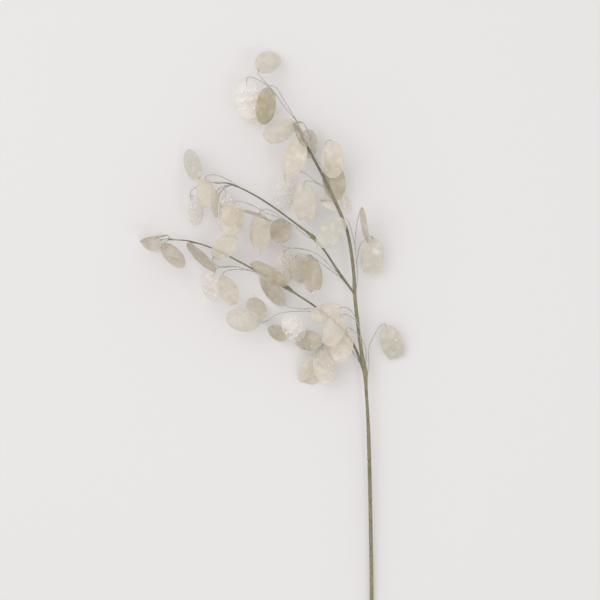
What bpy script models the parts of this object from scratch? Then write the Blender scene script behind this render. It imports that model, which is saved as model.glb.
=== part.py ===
"""A honesty (Lunaria) seed pod stem, as the dried spray is copied in wire, tape and pearly film.

It lies on a table as it would be laid down: the cut foot of the stem touches the surface, the head
is carried on the lowest pods. The stem grows along +Y and +Z is up, away from the table. Every place
below is in millimetres from the centre of the cut foot: x to the right of the foot, y along the
stem, z above the table. At the end the whole spray is moved so that the origin is at the bottom
centre of its box.
"""

import math
from collections import namedtuple

import bmesh
import bpy
from mathutils import Matrix, Vector

MM = 0.001

# Driving dimensions, in millimetres
FOOT_RADIUS = 2.4  # the taped stem at its cut end
WIRE_RADIUS = 0.6  # the thin stalk that carries a pod
POD_LENGTH = 46.0
POD_WIDTH = 28.5
POD_THICKNESS = 0.8
SEED_HEIGHT = 1.1  # how far a seed presses the film out
POD_BOW = 2.2  # how far the middle of a pod stands off its ends
STALK_IN_POD = 6.0  # length of stalk glued along the pod's middle
BOUND_GAP = 0.3  # between a stalk's root and the stem that it is bound to
ROOT_SPREAD = math.radians(16)  # how steeply a stalk leaves its stem

STEM_SIDES = 2  # bevel resolution: 8 sides
WIRE_SIDES = 0  # bevel resolution: 4 sides
STEM_STEP = 17.0  # spacing of the stem's rings
WIRE_STEP = 9.0  # spacing of a stalk's rings

# A stem's centre line, as (x, y, z, radius) knots
STEMS = {
    "main": [
        (0, 0, 2.6, FOOT_RADIUS),
        (0, 75, 6.6, FOOT_RADIUS),
        (-1, 152, 11, FOOT_RADIUS),
        (-4, 280, 18, 2.4),
        (-6.9, 334, 21.2, 1.95),
        (-8.8, 361, 22.8, 2.9),
        (-13, 385, 24.2, 2.3),
        (-21, 450, 27.8, 2.3),
        (-23, 486, 29.6, 2.1),
        (-30, 532, 32.2, 1.9),
        (-39, 557, 33.5, 2.0),
        (-60, 602, 36, 1.8),
        (-84, 647, 38.6, 1.5),
        (-95, 668, 40, 1.0),
    ],
    "upper": [
        (-22, 458, 28.2, 1.6),
        (-40, 482.5, 31, 1.5),
        (-61, 514, 34, 1.4),
        (-72, 527, 35.4, 2.1),
        (-88, 540, 36.4, 1.3),
        (-137, 575, 39, 1.1),
        (-176, 594.5, 38, 0.9),
        (-197, 596.5, 37, 0.8),
    ],
    "lower": [
        (-8.5, 356, 22.6, 1.6),
        (-21, 390, 24, 1.5),
        (-36, 413, 25.4, 1.4),
        (-70, 441, 27, 1.2),
        (-97, 459, 28.6, 1.3),
        (-107, 466, 29, 2.2),
        (-118, 471.5, 29.2, 1.5),
        (-165, 497.5, 30, 1.1),
        (-199, 514.5, 29.4, 0.9),
        (-228, 523.5, 27.6, 0.8),
        (-255, 526, 26, 0.8),
    ],
}

# Where the tape round the foot was started again: a pinch, then a slight shoulder
TAPE_JOINTS = (196, 248, 300)
PINCH, SHOULDER, JOINT_HALF = 0.86, 1.05, 1.6

# Where a stalk starts. Bound is on a stem, at its point nearest to near=(x, y). side turns round the
# stem, seen along its growth: 0 is its right, 90 its top, 180 its left and 270 its underside. Fork is
# on the stalk of an earlier pod of the same twig, at a share of that stalk's length.
Bound = namedtuple("Bound", "stem near side")
Fork = namedtuple("Fork", "pod share")

# One pod. Its stalk runs from start, through the via points, to the pod's own stalk end. tip is the
# far end seen from above; length then tells how far the pod tips out of the level, up (+1) or down
# (-1). turn rolls it about its length and raises the edge on the right of a pod that hangs down.
Pod = namedtuple("Pod", "start stalk tip tips turn length end via")


def pod(start, stalk, tip, tips=-1, turn=0, length=POD_LENGTH, end="oval", via=()):
    return Pod(start, stalk, tip, tips, turn, length, end, via)


TWIGS = {
    # Head of the leader
    "leader_tip_twig": [
        pod(Bound("main", (-92, 662), 20), (-130.5, 714.5, 44), (-135.5, 669), turn=-34,
            via=[(-103, 688, 44), (-113, 704, 47), (-121, 715.5, 48)]),
        pod(Fork(0, 0.15), (-142, 735.5, 47), (-119, 758), turn=-12,
            via=[(-110.5, 692.5, 42), (-121.5, 708.5, 43), (-133, 721, 45)]),
        pod(Fork(1, 0.62), (-156.5, 724, 40), (-153.5, 676.5), turn=0, length=48),
        pod(Fork(1, 0.52), (-137, 710, 31), (-148, 669.5), turn=14, end="notched"),
    ],
    "leader_twig_1": [
        pod(Bound("main", (-58, 600), 10), (-97, 670.5, 48), (-134.5, 650.5), tips=1, turn=-2,
            via=[(-73, 634, 42), (-80, 659, 46), (-87, 671, 48)]),
        pod(Fork(0, 0.88), (-97.5, 667, 51), (-80.5, 643), tips=1, turn=68, length=41),
        pod(Fork(0, 0.62), (-75, 661, 38), (-82.5, 630), turn=30, length=44),
    ],
    "leader_twig_2": [
        pod(Bound("main", (-78, 636), 180), (-90, 650, 46), (-105, 604), turn=-10, length=49),
    ],
    "leader_twig_3": [
        pod(Bound("main", (-55, 592), 0), (-49.5, 647.5, 53), (-49, 602), turn=2,
            via=[(-59, 630, 46), (-57, 647, 53)]),
        pod(Fork(0, 0.25), (-51, 621, 30), (-44, 575), turn=-10, length=47),
    ],
    "leader_twig_4": [
        pod(Bound("main", (-53, 587), 180), (-109, 606, 19), (-111, 562), turn=-29,
            via=[(-72, 599, 32), (-90, 611, 26)]),
        pod(Fork(0, 0.22), (-85, 595, 37), (-83, 550), turn=18, end="blunt"),
    ],
    "leader_twig_5": [
        pod(Bound("main", (-46, 572), 250), (-63, 574, 22), (-26, 571), turn=-24, length=42),
    ],
    "leader_twig_6": [
        pod(Bound("main", (-22, 468), 15), (-35.5, 550.5, 40), (-67, 517.5), tips=1, turn=5,
            via=[(-20, 500, 34), (-24, 530, 37)]),
        pod(Fork(0, 0.55), (-12, 564.5, 47), (-5, 521), turn=76, via=[(-19, 545, 42)]),
        pod(Fork(0, 0.28), (1, 528, 27), (-0.5, 483), turn=-4, end="blunt",
            via=[(-14, 520, 30)]),
    ],
    # Lower part of the main stem
    "right_twig": [
        pod(Bound("main", (-7, 360), 0), (17.5, 418, 19), (32, 377.5), turn=10, length=45,
            end="blunt", via=[(-2, 396, 24)]),
    ],
    "left_twig_1": [
        pod(Bound("main", (-18, 428), 130), (-39, 440.5, 40), (-75.5, 427), tips=1, turn=20,
            length=41),
    ],
    "left_twig_2": [
        pod(Bound("main", (-15, 402), 70), (-39.5, 430, 50), (-57, 394), tips=1, turn=-10,
            length=44, via=[(-20, 424, 37)]),
    ],
    "left_twig_3": [
        pod(Bound("main", (-10, 370), 40), (-32.5, 413, 38), (-42, 372), tips=1, turn=5,
            length=43, via=[(-11, 398, 32)]),
    ],
    # Upper side branch
    "upper_tip_twig": [
        pod(Bound("upper", (-193, 596), 80), (-215.5, 602, 40), (-232.5, 636.5), turn=-40,
            length=44),
        pod(Fork(0, 0.4), (-227, 580, 28), (-217.5, 545.5), turn=-46, length=43),
    ],
    "upper_twig_1": [
        pod(Bound("upper", (-172, 593), 20), (-207.5, 602, 46), (-209, 565), tips=1, turn=-24,
            length=41, via=[(-196, 606, 45)]),
    ],
    "upper_twig_2": [
        pod(Bound("upper", (-178, 595), 200), (-182.5, 585, 38), (-184, 545), turn=-44,
            length=42, via=[(-186, 591, 38)]),
        pod(Fork(0, 0.3), (-194, 585, 36), (-198, 557), turn=62, length=40),
        pod(Fork(0, 0.2), (-191, 572.5, 15), (-172.5, 532.5), turn=8, length=45),
    ],
    "upper_twig_3": [
        pod(Bound("upper", (-74, 528), 160), (-171.5, 570.5, 54), (-177, 530), tips=1, turn=5,
            length=45, via=[(-96, 541, 43), (-114, 551.5, 48), (-131, 558, 53), (-155, 570, 56)]),
        pod(Fork(0, 0.34), (-127, 549, 56), (-159.5, 560), tips=1, turn=81, length=40),
        pod(Fork(0, 0.34), (-140, 559, 38), (-139.5, 514), turn=26, end="blunt",
            via=[(-130, 563, 41)]),
    ],
    "upper_twig_4": [
        pod(Bound("upper", (-43, 487), 170), (-110, 509.5, 26), (-107.5, 469.5), turn=-34,
            via=[(-70, 508, 34), (-96, 515, 30)]),
        pod(Fork(0, 0.6), (-114.5, 521.5, 34), (-113.5, 551.5), turn=2, length=44),
    ],
    "upper_twig_5": [
        pod(Bound("upper", (-38, 479), 200), (-80, 505, 42), (-71, 461), turn=-30,
            end="notched", via=[(-60, 493, 36)]),
        pod(Fork(0, 0.8), (-95.5, 503, 36), (-84, 474), turn=-16, length=42),
    ],
    # Lower side branch
    "lower_tip_twig": [
        pod(Bound("lower", (-251, 526), 60), (-257.5, 531, 34), (-287, 521.5), tips=1, turn=79,
            length=40),
        pod(Fork(0, 0.5), (-264, 525, 30), (-286, 517.5), turn=-30, length=36.5),
        pod(Fork(0, 0.3), (-259.5, 520.5, 24), (-238, 490), tips=1, turn=-42, length=44),
    ],
    "lower_twig_1": [
        pod(Bound("lower", (-226, 523), 150), (-231, 520, 33), (-194.5, 487.5), tips=1, turn=67,
            length=50),
    ],
    "lower_twig_2": [
        pod(Bound("lower", (-146, 487), 190), (-198, 503, 38), (-170, 529), tips=1, turn=-5,
            length=42, via=[(-170, 491.5, 29), (-192, 492, 30)]),
        pod(Fork(0, 0.3), (-197, 485, 26), (-204, 451), turn=30, length=42),
        pod(Fork(0, 0.12), (-186, 479.5, 32), (-173, 444), tips=1, turn=-30, length=43),
    ],
    "lower_twig_3": [
        pod(Bound("lower", (-144, 486), 90), (-149.5, 496, 48), (-106, 470), tips=1, turn=55,
            length=51),
    ],
    "lower_twig_4": [
        pod(Bound("lower", (-67, 439), 220), (-110, 445, 16), (-139, 481), turn=-48,
            length=47, via=[(-92, 439, 19)]),
    ],
    "lower_twig_5": [
        pod(Bound("lower", (-60, 433), 170), (-140, 421, 35), (-181, 429), tips=1, turn=-8,
            via=[(-85, 436, 29), (-116, 433, 32)]),
        pod(Fork(0, 0.85), (-142, 425, 31), (-147, 452.5), turn=20, length=41),
    ],
    "lower_twig_6": [
        pod(Bound("lower", (-33, 410), 220), (-65, 395.5, 34), (-94, 402.5), turn=12, length=42,
            via=[(-54, 397, 27)]),
        pod(Fork(0, 0.6), (-88, 401, 32), (-109, 430.5), tips=1, turn=8, length=42,
            via=[(-66, 389, 30), (-83, 388, 30)]),
        pod(Fork(1, 0.7), (-105, 409, 30), (-129, 409), turn=-30, length=37),
    ],
    "lower_twig_7": [
        pod(Bound("lower", (-15, 377), 190), (-62, 390, 22), (-56.5, 345.5), tips=1, turn=6,
            via=[(-34, 398, 16), (-52, 401, 18)]),
        pod(Fork(0, 0.7), (-71, 380, 23.3), (-82.5, 345.5), turn=-6, length=42.5, end="blunt"),
    ],
}

# How far along the full oval each kind of pod ends, and how deep its end is nicked
POD_ENDS = {"oval": (0.99, 0.0), "blunt": (0.885, 0.0), "notched": (0.94, 2.6)}
# Rings of the pod's film: seeds lie at every other ring of the middle
POD_ROWS = (0.0, 0.09, 0.26, 0.38, 0.5, 0.62, 0.74, 0.9, 1.0)
SEED_ROWS = (0.26, 0.5, 0.74)
POD_COLUMNS = (-1.0, -0.45, 0.0, 0.45, 1.0)
SEED_COLUMN = 0.45

TAPE_COLOUR = (0.27, 0.26, 0.17, 1.0)
FILM_COLOUR = (0.78, 0.73, 0.62, 1.0)


def clear_scene():
    for old in list(bpy.data.objects):
        bpy.data.objects.remove(old)


def make_material(name, colour, roughness):
    material = bpy.data.materials.new(name)
    material.use_nodes = True
    shader = material.node_tree.nodes["Principled BSDF"]
    shader.inputs["Base Color"].default_value = colour
    shader.inputs["Roughness"].default_value = roughness
    shader.inputs["Metallic"].default_value = 0.0
    return material


def smooth_line(knots, step, start_pull=None, end_pull=None):
    """Points about step apart on a smooth curve through the knots. The knots may hold more than
    three numbers; the pulls set the curve's direction and strength at its two ends."""
    count = len(knots)
    pulls = []
    for i, knot in enumerate(knots):
        before, after = knots[max(i - 1, 0)], knots[min(i + 1, count - 1)]
        whole = (after - before).length
        pulls.append((after - before) / max(whole, 1e-9))
    line = [knots[0]]
    for i in range(count - 1):
        a, b = knots[i], knots[i + 1]
        span = (b - a).length
        pull_a = pulls[i] * span
        pull_b = pulls[i + 1] * span
        if i == 0 and start_pull is not None:
            pull_a = start_pull * span
        if i == count - 2 and end_pull is not None:
            pull_b = end_pull * span
        pieces = max(1, round(span / step))
        for k in range(1, pieces + 1):
            t = k / pieces
            line.append(
                a * (2 * t**3 - 3 * t**2 + 1)
                + pull_a * (t**3 - 2 * t**2 + t)
                + b * (3 * t**2 - 2 * t**3)
                + pull_b * (t**3 - t**2)
            )
    return line


def stem_line(name):
    """(centre, radius) rings along a stem."""
    knots = [Vector(knot) for knot in STEMS[name]]
    rings = [(ring.xyz, ring.w) for ring in smooth_line(knots, STEM_STEP)]
    if name == "main":
        rings = with_tape_joints(rings)
    return rings


def with_tape_joints(rings):
    """The same rings with a pinch and a shoulder at each tape joint."""
    made = list(rings)
    for y in TAPE_JOINTS:
        for offset, scale in ((-JOINT_HALF, 1), (0, PINCH), (JOINT_HALF, SHOULDER)):
            centre, radius = on_line(rings, lambda p: abs(p.y - y - offset))[:2]
            made.append((centre, radius * scale))
    return sorted(made, key=lambda ring: ring[0].y)


def on_line(rings, distance):
    """(centre, radius, direction) at the place along the rings where distance(centre) is least."""
    best = None
    for (a, radius_a), (b, radius_b) in zip(rings, rings[1:]):
        for k in range(21):
            t = k / 20
            centre = a.lerp(b, t)
            away = distance(centre)
            if best is None or away < best[0]:
                best = (away, centre, radius_a + (radius_b - radius_a) * t, (b - a).normalized())
    return best[1:]


def bound_root(start, lines):
    """(root, direction) of a stalk that is bound to a stem."""
    near = Vector(start.near)
    centre, radius, along = on_line(lines[start.stem], lambda p: (p.xy - near).length)
    side = math.radians(start.side)
    right = along.cross(Vector((0, 0, 1))).normalized()
    out = right * math.cos(side) + right.cross(along) * math.sin(side)
    root = centre + out * (radius + BOUND_GAP + WIRE_RADIUS)
    return root, along * math.cos(ROOT_SPREAD) + out * math.sin(ROOT_SPREAD)


def fork_root(start, paths):
    """(root, direction) of a stalk that forks from an earlier one."""
    path = paths[start.pod]
    lengths = [0.0]
    for a, b in zip(path, path[1:]):
        lengths.append(lengths[-1] + (b - a).length)
    wanted = start.share * lengths[-1]
    for i, (a, b) in enumerate(zip(path, path[1:])):
        if lengths[i + 1] >= wanted:
            t = (wanted - lengths[i]) / (lengths[i + 1] - lengths[i])
            return a.lerp(b, t), (b - a).normalized()
    return path[-1], (path[-1] - path[-2]).normalized()


def pod_axes(spec):
    """(stalk end, along, across, out) of a pod: out is the side that its seeds press out."""
    stalk = Vector(spec.stalk)
    level = Vector((*spec.tip, 0)) - Vector((*stalk.xy, 0))
    drop = math.sqrt(max(spec.length**2 - level.length**2, 0.0)) * spec.tips
    along = (level + Vector((0, 0, drop))).normalized()
    across = Vector((0, 0, 1)).cross(along).normalized()
    out = along.cross(across)
    roll = math.radians(spec.turn)
    return (
        stalk,
        along,
        across * math.cos(roll) + out * math.sin(roll),
        out * math.cos(roll) - across * math.sin(roll),
    )


def curve_tube(name, rings, sides):
    """A tube through (centre, radius) rings in millimetres, as a closed mesh object in metres."""
    curve = bpy.data.curves.new(name, "CURVE")
    curve.dimensions = "3D"
    curve.bevel_depth = MM
    curve.bevel_resolution = sides
    curve.use_fill_caps = True
    spline = curve.splines.new("POLY")
    spline.points.add(len(rings) - 1)
    for point, (centre, radius) in zip(spline.points, rings):
        point.co = (*(centre * MM), 1.0)
        point.radius = radius
    tube = bpy.data.objects.new(name, curve)
    bpy.context.scene.collection.objects.link(tube)
    mesh = evaluated_mesh(tube)
    bpy.data.objects.remove(tube)
    work = bmesh.new()
    work.from_mesh(mesh)
    bmesh.ops.remove_doubles(work, verts=work.verts, dist=1e-6)
    bmesh.ops.recalc_face_normals(work, faces=work.faces)
    work.to_mesh(mesh)
    work.free()
    return bpy.data.objects.new(name, mesh)


def evaluated_mesh(thing):
    bpy.context.view_layer.update()
    graph = bpy.context.evaluated_depsgraph_get()
    return bpy.data.meshes.new_from_object(thing.evaluated_get(graph))


def half_width(share, reach):
    """Half the pod's width at a share of its length, as a share of the greatest half width."""
    on_oval = 0.012 + (reach - 0.012) * share
    return math.sqrt(1 - (2 * on_oval - 1) ** 2)


def film_height(share, across):
    """How far the film stands off the flat: the pod's bow and the seed under it."""
    bow = POD_BOW * (4 * share * (1 - share)) * (1 - 0.5 * across**2)
    on_seed = min(abs(share - row) for row in SEED_ROWS) < 1e-6
    on_seed = on_seed and abs(abs(across) - SEED_COLUMN) < 1e-6
    return bow + (SEED_HEIGHT if on_seed else 0.0)


def pod_blade(name, spec):
    """The pod's film: a grid bent to the outline, with a raised seed at each seed place."""
    stalk, along, across, out = pod_axes(spec)
    reach, nick = POD_ENDS[spec.end]
    rows, columns = len(POD_ROWS), len(POD_COLUMNS)
    work = bmesh.new()
    bmesh.ops.create_grid(work, x_segments=rows - 1, y_segments=columns - 1, size=1.0)
    for vert in work.verts:
        share = POD_ROWS[round((vert.co.x + 1) / 2 * (rows - 1))]
        column = POD_COLUMNS[round((vert.co.y + 1) / 2 * (columns - 1))]
        size = spec.length / POD_LENGTH
        length_at = share * spec.length
        if share == POD_ROWS[-1] and column == 0:
            length_at -= nick
        width_at = column * half_width(share, reach) * POD_WIDTH / 2 * size
        place = stalk + along * length_at + across * width_at
        vert.co = (place + out * film_height(share, column)) * MM
    bmesh.ops.triangulate(work, faces=work.faces, quad_method="SHORT_EDGE")
    mesh = bpy.data.meshes.new(name)
    work.to_mesh(mesh)
    work.free()
    blade = bpy.data.objects.new(name, mesh)
    shell = blade.modifiers.new("film thickness", "SOLIDIFY")
    shell.thickness = POD_THICKNESS * MM
    shell.offset = 0.0
    return blade


def fuse(name, pieces):
    """One object that is the Boolean union of the pieces, which are then removed."""
    helpers = bpy.data.collections.new(name + "_pieces")
    bpy.context.scene.collection.children.link(helpers)
    for piece in pieces[1:]:
        helpers.objects.link(piece)
    first = pieces[0]
    bpy.context.scene.collection.objects.link(first)
    if len(pieces) > 1:
        join = first.modifiers.new("join", "BOOLEAN")
        join.operation = "UNION"
        join.operand_type = "COLLECTION"
        join.collection = helpers
    mesh = evaluated_mesh(first)
    for piece in pieces:
        bpy.data.objects.remove(piece)
    bpy.data.collections.remove(helpers)
    mesh.name = name
    return bpy.data.objects.new(name, mesh)


def make_stem(lines):
    tubes = [curve_tube(name, rings, STEM_SIDES) for name, rings in lines.items()]
    return fuse("stem", tubes)


def stalk_path(spec, lines, paths):
    """The stalk's centre line up to the pod, and on along the middle of the pod's film."""
    if isinstance(spec.start, Bound):
        root, leaving = bound_root(spec.start, lines)
    else:
        root, leaving = fork_root(spec.start, paths)
    stalk, along = pod_axes(spec)[:2]
    knots = [root, *(Vector(point) for point in spec.via), stalk]
    return smooth_line(knots, WIRE_STEP, leaving, along)


def make_twig(name, specs, lines):
    """A stalk with its forks and pods, fused in one body."""
    paths, pieces = [], []
    for number, spec in enumerate(specs):
        path = stalk_path(spec, lines, paths)
        paths.append(path)
        along = pod_axes(spec)[1]
        wire = [(point, WIRE_RADIUS) for point in path]
        wire.append((path[-1] + along * STALK_IN_POD, WIRE_RADIUS))
        pieces.append(curve_tube(f"{name}_stalk_{number}", wire, WIRE_SIDES))
        pieces.append(pod_blade(f"{name}_pod_{number}", spec))
    return fuse(name, pieces)


def finish(node, material, collection):
    node.data.materials.clear()
    node.data.materials.append(material)
    node.data.shade_smooth()
    node.data.set_sharp_from_angle(angle=math.radians(40))
    collection.objects.link(node)


def stand_on_origin(nodes):
    """Moves the meshes so that the origin is at the bottom centre of their common box."""
    corners = [vert.co for node in nodes for vert in node.data.vertices]
    low = Vector([min(corner[k] for corner in corners) for k in range(3)])
    high = Vector([max(corner[k] for corner in corners) for k in range(3)])
    middle = (low + high) / 2
    for node in nodes:
        node.data.transform(Matrix.Translation((-middle.x, -middle.y, -low.z)))


def main():
    clear_scene()
    collection = bpy.data.collections.new("honesty_stem")
    bpy.context.scene.collection.children.link(collection)
    tape = make_material("stem_tape", TAPE_COLOUR, 0.75)
    film = make_material("pearl_film", FILM_COLOUR, 0.35)
    lines = {name: stem_line(name) for name in STEMS}
    stem = make_stem(lines)
    twigs = [make_twig(name, specs, lines) for name, specs in TWIGS.items()]
    stand_on_origin([stem, *twigs])
    finish(stem, tape, collection)
    for twig in twigs:
        finish(twig, film, collection)


main()
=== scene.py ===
# %% [markdown]
# # A honesty seed pod stem
#
# Honesty is grown for its flat, silvery seed pods. The stem here is the kind that florists sell: a
# wire stem wrapped in waxy tape, thin lacquered wires, and pods pressed from pearly film, each with
# two columns of three raised seeds. It lies on a table and we look down on it.
#
# The solid model comes first, as the frame: every piece below sits where its solid is, and then
# stands in for it.

# %% Load the frame
import math
import random
from collections import namedtuple

import bmesh
import bpy
from mathutils import Matrix, Vector, noise


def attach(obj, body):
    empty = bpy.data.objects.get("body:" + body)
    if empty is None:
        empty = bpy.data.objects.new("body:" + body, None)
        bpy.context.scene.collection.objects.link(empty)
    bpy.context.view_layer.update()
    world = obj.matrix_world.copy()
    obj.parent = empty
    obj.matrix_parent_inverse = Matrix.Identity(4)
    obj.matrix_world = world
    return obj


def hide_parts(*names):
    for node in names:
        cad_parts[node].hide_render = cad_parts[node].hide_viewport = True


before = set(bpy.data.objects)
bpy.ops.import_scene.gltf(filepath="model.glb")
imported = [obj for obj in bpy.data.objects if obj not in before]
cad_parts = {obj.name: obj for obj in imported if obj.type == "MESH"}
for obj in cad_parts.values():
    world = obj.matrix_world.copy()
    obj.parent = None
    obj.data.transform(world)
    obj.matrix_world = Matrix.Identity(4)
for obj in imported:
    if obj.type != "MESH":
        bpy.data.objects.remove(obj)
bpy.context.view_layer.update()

MM = 0.001

# %% [markdown]
# Places are written in millimetres from the middle of the cut foot: x to the right, y along the
# stem, z up from the table. The frame keeps its origin under the middle of the whole spray instead.
# The foot's last ring of points in the solid stem tells how far apart the two origins are. Measuring
# is safer than typing that offset, because it follows the solid if a pod is ever moved.

# %% Find the foot
FOOT_HEIGHT = 2.6  # the foot's centre above the table, in millimetres
FOOT_RADIUS = 2.4  # the wrapped stem at its cut end
FOOT_SLICE = 1.5  # how much of the stem's end is looked at


def find_foot(stem):
    lowest = min(vert.co.y for vert in stem.data.vertices)
    ring = [vert.co for vert in stem.data.vertices if vert.co.y < lowest + FOOT_SLICE * MM]
    across = [co.x for co in ring]
    upward = [co.z for co in ring]
    middle_x = (min(across) + max(across)) / 2
    middle_z = (min(upward) + max(upward)) / 2
    return Vector((middle_x, lowest, middle_z - FOOT_HEIGHT * MM))


FOOT = find_foot(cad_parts["stem"])
print("foot in the frame, mm:", [round(1000 * value, 1) for value in FOOT])

# %% [markdown]
# The photograph looks straight down on the spray with hardly any perspective. A long lens far away
# gives that. A wide lens close by would spread the high pods outwards and show their sides. The
# middle of the picture is a point beside the stem, a little above the middle of its length.

# %% Camera
FIELD = 750  # width of table in the picture, in millimetres
LENS = 220  # millimetres
SENSOR = 36  # the width of the camera's sensor, in millimetres
FARTHEST = 50  # nothing is drawn beyond this many metres
AIM = (-90, 450, 30)


def hang_camera():
    data = bpy.data.cameras.new("view from above")
    data.lens = LENS
    data.sensor_width = SENSOR
    data.clip_end = FARTHEST
    camera = bpy.data.objects.new("view from above", data)
    distance = FIELD * LENS / SENSOR
    camera.location = FOOT + Vector((AIM[0], AIM[1], AIM[2] + distance)) * MM
    bpy.context.scene.collection.objects.link(camera)
    bpy.context.scene.camera = camera
    return distance


print("camera hangs", round(hang_camera()), "mm above the spray")

# %% [markdown]
# The table is a pale, matt sheet. Light comes from a very large soft panel above and to the left, with
# a pale room round it, so that a film that hangs a few centimetres up casts only a breath of shadow.
# A small lamp alone would draw a second, black spray on the table. The weak small panel on the
# other side is there only to be mirrored in the raised seeds.

# %% Table and light
TABLE_COLOUR = (0.80, 0.785, 0.785, 1)
ROOM_COLOUR = (1.0, 0.985, 0.985, 1)
ROOM_STRENGTH = 0.78
TABLE_REACH = 4  # metres from its middle to each edge


def principled(material):
    return material.node_tree.nodes["Principled BSDF"]


def new_material(name, roughness):
    material = bpy.data.materials.new(name)
    material.use_nodes = True
    principled(material).inputs["Roughness"].default_value = roughness
    return material


def lay_table():
    mesh = bpy.data.meshes.new("table top")
    work = bmesh.new()
    bmesh.ops.create_grid(work, x_segments=1, y_segments=1, size=TABLE_REACH)
    work.to_mesh(mesh)
    work.free()
    table = bpy.data.objects.new("table top", mesh)
    paint = new_material("matt table", 0.9)
    principled(paint).inputs["Base Color"].default_value = TABLE_COLOUR
    principled(paint).inputs["Specular IOR Level"].default_value = 0.1
    mesh.materials.append(paint)
    bpy.context.scene.collection.objects.link(table)


def hang_panel(name, place, watts, size):
    data = bpy.data.lights.new(name, "AREA")
    data.energy = watts
    data.size = size
    panel = bpy.data.objects.new(name, data)
    panel.location = place
    panel.rotation_euler = (-Vector(place)).to_track_quat("-Z", "Y").to_euler()
    bpy.context.scene.collection.objects.link(panel)


def light_room():
    world = bpy.data.worlds.new("pale room")
    world.use_nodes = True
    sky = world.node_tree.nodes["Background"]
    sky.inputs["Color"].default_value = ROOM_COLOUR
    sky.inputs["Strength"].default_value = ROOM_STRENGTH
    bpy.context.scene.world = world
    bpy.context.scene.view_settings.view_transform = "Standard"


lay_table()
light_room()
hang_panel("soft panel", (-1.1, 0.7, 2.9), watts=24, size=2.4)
hang_panel("small panel", (0.9, -0.5, 2.2), watts=4, size=0.4)
print("table laid, two soft panels lit")

# %% [markdown]
# Stems and wires are both lines with a thickness. A smooth curve through a few chosen points is the
# quickest honest way to a bent wire: the points say where it passes, and the curve bends evenly in
# between. Each knot's direction is that of its two neighbours. A start or end direction can be
# given, because a wire leaves a stem along it and enters a pod along the pod's middle.

# %% Smooth lines
def smooth_line(knots, step, start_pull=None, end_pull=None):
    last = len(knots) - 1
    pulls = []
    for i in range(len(knots)):
        whole = knots[min(i + 1, last)] - knots[max(i - 1, 0)]
        pulls.append(whole / max(whole.length, 1e-9))
    line = [knots[0]]
    for i in range(last):
        a, b = knots[i], knots[i + 1]
        span = (b - a).length
        pull_a, pull_b = pulls[i] * span, pulls[i + 1] * span
        if i == 0 and start_pull is not None:
            pull_a = start_pull * span
        if i == last - 1 and end_pull is not None:
            pull_b = end_pull * span
        pieces = max(1, round(span / step))
        for k in range(1, pieces + 1):
            t = k / pieces
            place = a * (2 * t**3 - 3 * t**2 + 1) + b * (3 * t**2 - 2 * t**3)
            line.append(place + pull_a * (t**3 - 2 * t**2 + t) + pull_b * (t**3 - t**2))
    return line


def run_lengths(line):
    """How far along the line each of its points is."""
    run = [0.0]
    for a, b in zip(line, line[1:]):
        run.append(run[-1] + (b.xyz - a.xyz).length)
    return run


# %% [markdown]
# A tube is rings of points carried along a line. Each ring is turned as little as possible from the
# one before, or the tape's spiral would wind by itself at every bend. The radius is asked for at each
# point, so one function makes a smooth wire, a wrapped stem or a bulging collar. Both ends are
# closed. Values such as how brown the tape is are stored on the points for the materials to read.

# %% Tubes
def rings_along(line):
    """(centre, one side, other side) for a ring at each point of the line."""
    frames = []
    side = None
    last = len(line) - 1
    for i, point in enumerate(line):
        along = (line[min(i + 1, last)].xyz - line[max(i - 1, 0)].xyz).normalized()
        if side is None:
            side = along.orthogonal().normalized()
        side = (side - along * side.dot(along)).normalized()
        frames.append((point.xyz, side, along.cross(side)))
    return frames


def tube_into(work, line, sides, radius_at, marks=None):
    """Adds a closed tube. radius_at(ring number, turn) is in millimetres; marks(ring number, turn)
    gives the values to store, one for each layer name."""
    rings = []
    for i, (centre, side, other) in enumerate(rings_along(line)):
        ring = []
        for k in range(sides):
            turn = k / sides
            angle = 2 * math.pi * turn
            out = side * math.cos(angle) + other * math.sin(angle)
            vert = work.verts.new((centre + out * radius_at(i, turn)) * MM)
            for layer, value in (marks(i, turn) if marks else {}).items():
                vert[work.verts.layers.float[layer]] = value
            ring.append(vert)
        rings.append(ring)
    for low, high in zip(rings, rings[1:]):
        for k in range(sides):
            after = (k + 1) % sides
            work.faces.new((low[k], low[after], high[after], high[k]))
    work.faces.new(list(reversed(rings[0])))
    work.faces.new(rings[-1])


def new_work(*layers):
    work = bmesh.new()
    for layer in layers:
        work.verts.layers.float.new(layer)
    return work


def keep_piece(name, work, material, node, crease=50):
    """Turns the work into a piece of the model that stands in for its solid."""
    mesh = bpy.data.meshes.new(name)
    bmesh.ops.recalc_face_normals(work, faces=work.faces)
    work.to_mesh(mesh)
    work.free()
    mesh.transform(Matrix.Translation(FOOT))
    mesh.shade_smooth()
    mesh.set_sharp_from_angle(angle=math.radians(crease))
    mesh.materials.append(material)
    piece = bpy.data.objects.new(name, mesh)
    bpy.context.scene.collection.objects.link(piece)
    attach(piece, "root")
    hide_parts(node)
    return piece


print("tube maker ready")

# %% [markdown]
# The stem is three wires. The main one curves up to the head, and the two side branches were laid
# against it and bound in, so each starts inside the main stem's own thickness. A knot is
# (x, y, z, radius). The radius swells where a branch is bound in and where the tape was started
# again over a sleeve, and it shrinks towards each tip.

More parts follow.
